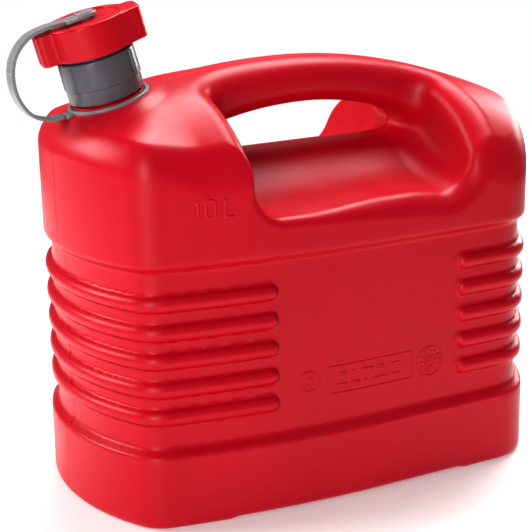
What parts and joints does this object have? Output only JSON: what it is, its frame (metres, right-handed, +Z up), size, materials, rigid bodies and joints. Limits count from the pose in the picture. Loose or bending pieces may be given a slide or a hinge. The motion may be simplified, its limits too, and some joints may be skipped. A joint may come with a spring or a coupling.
{
  "type": "jerry can",
  "caption": "Blow-moulded plastic fuel can with a hollow top handle, ridged ends, tilted screw neck, grey collar with stored spout, and a lobed screw cap on a strap.",
  "frame": {"origin": "middle of the whole object's footprint, at the height of the feet", "axes": "+Z up, +X along the can's length from the neck end to the back end, Y across the can, which is symmetric about y = 0 apart from its cap's lobes"},
  "size_m": [0.3402, 0.1914, 0.304],
  "materials": {
    "red_plastic": "satin blow-moulded polyethylene",
    "cap_plastic": "satin injection-moulded polyethylene",
    "grey_plastic": "satin injection-moulded plastic",
    "strap_plastic": "satin flexible plastic",
    "seal_rubber": "matt black"
  },
  "bodies": {
    "root": {"can_body": "red_plastic", "strap_ring": "strap_plastic", "strap_lower": "strap_plastic"},
    "spout": {"spout_tube": "grey_plastic", "spout_seal": "seal_rubber", "strap_upper": "strap_plastic"},
    "collar": {"collar": "grey_plastic"},
    "strap_end": {"strap_pad": "strap_plastic"},
    "cap": {"cap": "cap_plastic", "cap_seal": "seal_rubber"}
  },
  "joints": [
    {"name": "collar_rise", "type": "slide", "parent": "root", "child": "spout", "axis": [-0.2588, 0, 0.9659], "range_m": [0, 0.00801], "deforming": ["strap_lower"]},
    {"name": "collar_turn", "type": "hinge", "parent": "spout", "child": "collar", "pos_m": [-0.10988, 0, 0.2485], "axis": [-0.2588, 0, 0.9659], "range_deg": [0, 720]},
    {"name": "cap_rise", "type": "slide", "parent": "spout", "child": "strap_end", "axis": [-0.2588, 0, 0.9659], "range_m": [0, 0.00801], "deforming": ["strap_upper"]},
    {"name": "cap_turn", "type": "hinge", "parent": "strap_end", "child": "cap", "pos_m": [-0.10988, 0, 0.2485], "axis": [-0.2588, 0, 0.9659], "range_deg": [0, 720]}
  ],
  "couplings": [
    {"joint": "collar_rise", "follows": "collar_turn", "m_per_rad": 0.00063662},
    {"joint": "cap_rise", "follows": "cap_turn", "m_per_rad": 0.00063662}
  ]
}
